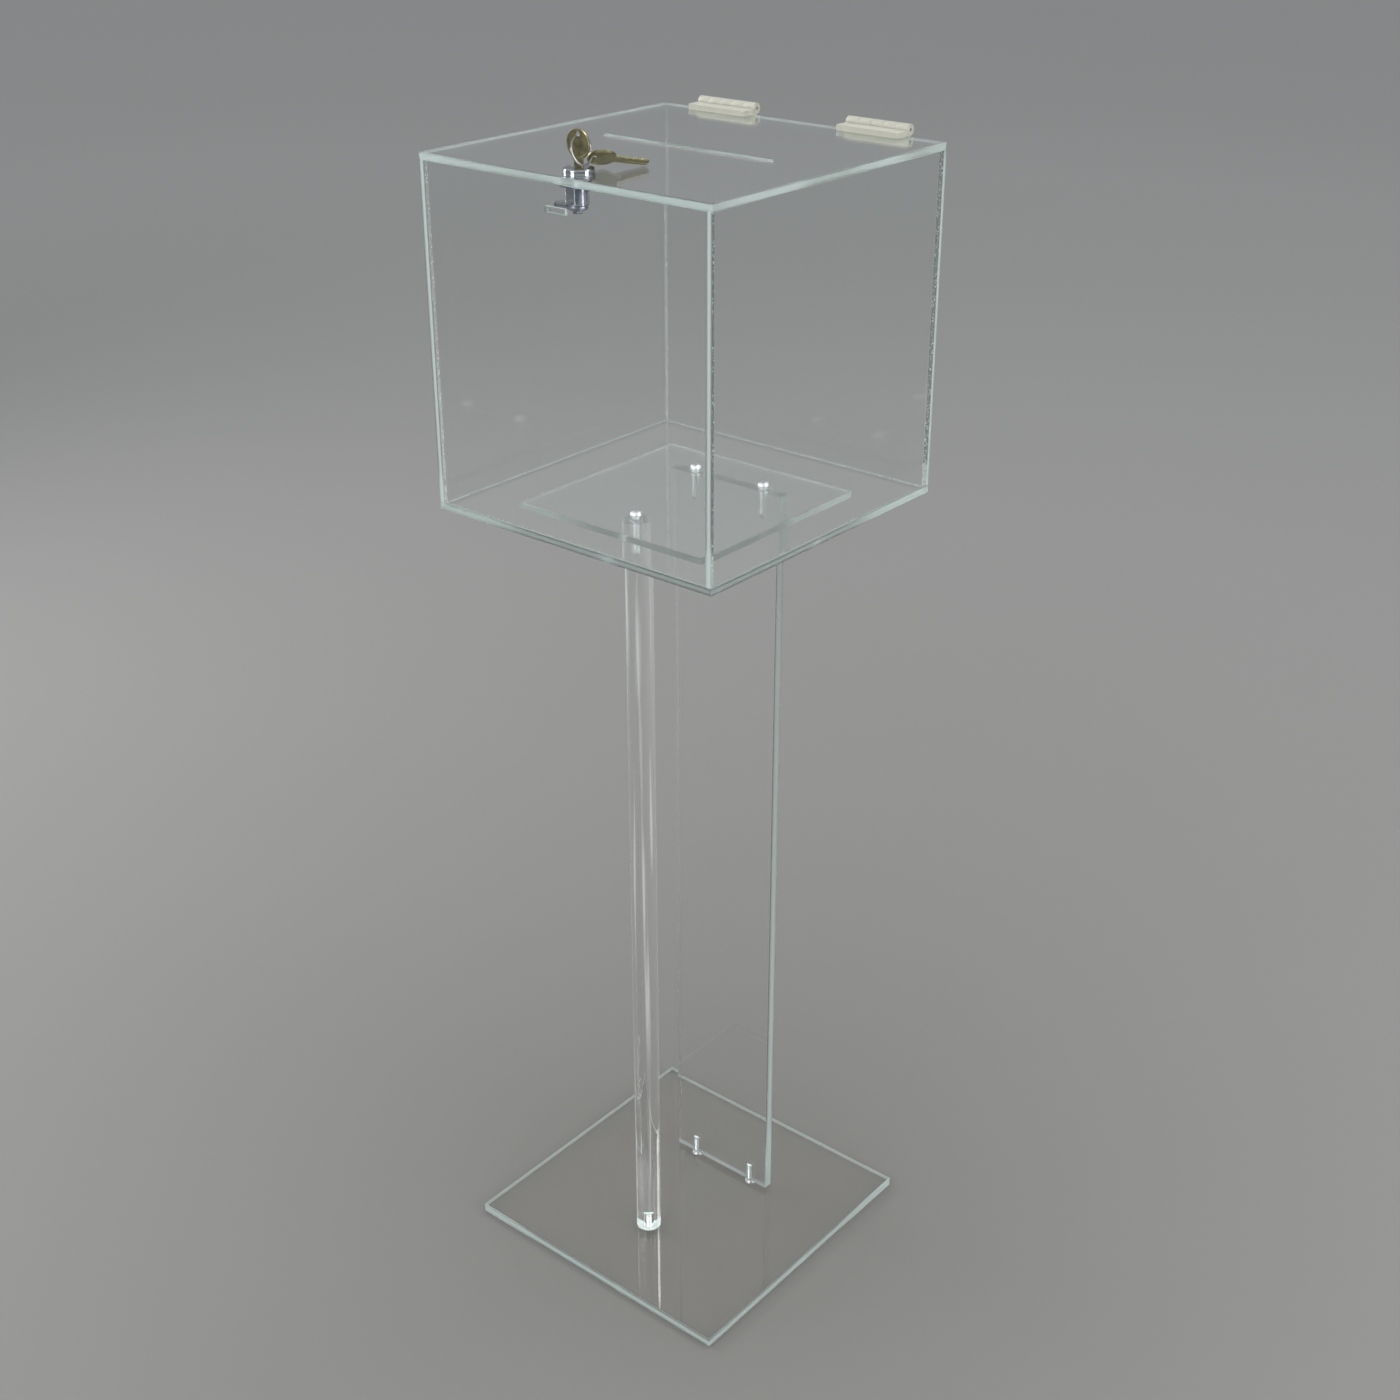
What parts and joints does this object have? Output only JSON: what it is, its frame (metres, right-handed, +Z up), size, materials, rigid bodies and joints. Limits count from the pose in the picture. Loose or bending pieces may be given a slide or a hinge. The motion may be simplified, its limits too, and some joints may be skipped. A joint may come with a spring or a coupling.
{
  "type": "ballot box",
  "caption": "Clear acrylic ballot box with a slotted, hinged lid and a keyed cam lock, carried at table height on a clear pedestal of a round rod and a flat panel.",
  "frame": {"origin": "on the floor, at the centre of the base plate's underside, under the middle of the box", "axes": "+Z up; -Y is the front, where the lock is; +Y is the back, where the hinges are; +X is to the right for someone who stands at the front"},
  "size_m": [0.305, 0.3145, 1.1241],
  "materials": {
    "clear_acrylic": "clear, polished faces and edges",
    "milky_hinge": "translucent milky plastic",
    "hinge_steel": "drawn steel pin",
    "screw_steel": "bright stainless steel",
    "lock_chrome": "bright chrome plating",
    "lock_zinc": "zinc plating",
    "key_brass": "worn brass",
    "wafer_brass": "plain brass",
    "spring_steel": "hard-drawn spring wire",
    "ring_steel": "nickel-plated wire"
  },
  "bodies": {
    "root": {"base_plate": "clear_acrylic", "front_rod": "clear_acrylic", "rear_panel": "clear_acrylic", "head_plate": "clear_acrylic", "base_screws": "screw_steel", "head_screws": "screw_steel", "box_floor": "clear_acrylic", "front_wall": "clear_acrylic", "back_wall": "clear_acrylic", "left_wall": "clear_acrylic", "right_wall": "clear_acrylic", "left_hinge_wall_leaf": "milky_hinge", "left_hinge_pin": "hinge_steel", "right_hinge_wall_leaf": "milky_hinge", "right_hinge_pin": "hinge_steel"},
    "lid": {"lid": "clear_acrylic", "left_hinge_lid_leaf": "milky_hinge", "right_hinge_lid_leaf": "milky_hinge", "lock_housing": "lock_chrome", "lock_nut": "lock_zinc"},
    "plug": {"lock_plug": "lock_chrome", "lock_wafers": "wafer_brass", "wafer_springs": "spring_steel", "stop_washer": "lock_zinc", "lock_cam": "lock_zinc", "cam_screw": "lock_zinc"},
    "key": {"key": "key_brass"},
    "ring": {"key_ring": "ring_steel"},
    "spare": {"spare_key": "key_brass"}
  },
  "joints": [
    {"name": "lid_hinge", "type": "hinge", "parent": "root", "child": "lid", "pos_m": [0, 0.15725, 1.09675], "axis": [-1, 0, 0], "range_deg": [0, 240]},
    {"name": "lock_turn", "type": "hinge", "parent": "lid", "child": "plug", "pos_m": [0, -0.12763, 1.092], "axis": [0, 0, 1], "range_deg": [0, 90]},
    {"name": "key_slide", "type": "slide", "parent": "plug", "child": "key", "axis": [0, 0, 1], "range_m": [0, 0.022]},
    {"name": "ring_swing", "type": "hinge", "parent": "key", "child": "ring", "pos_m": [0, -0.12763, 1.1182], "axis": [0, -1, 0], "range_deg": [0, 150]},
    {"name": "spare_key_swing", "type": "hinge", "parent": "ring", "child": "spare", "pos_m": [0.00515, -0.11847, 1.1025], "axis": [0.2643, -0.5299, -0.8058], "range_deg": [0, 50]}
  ]
}
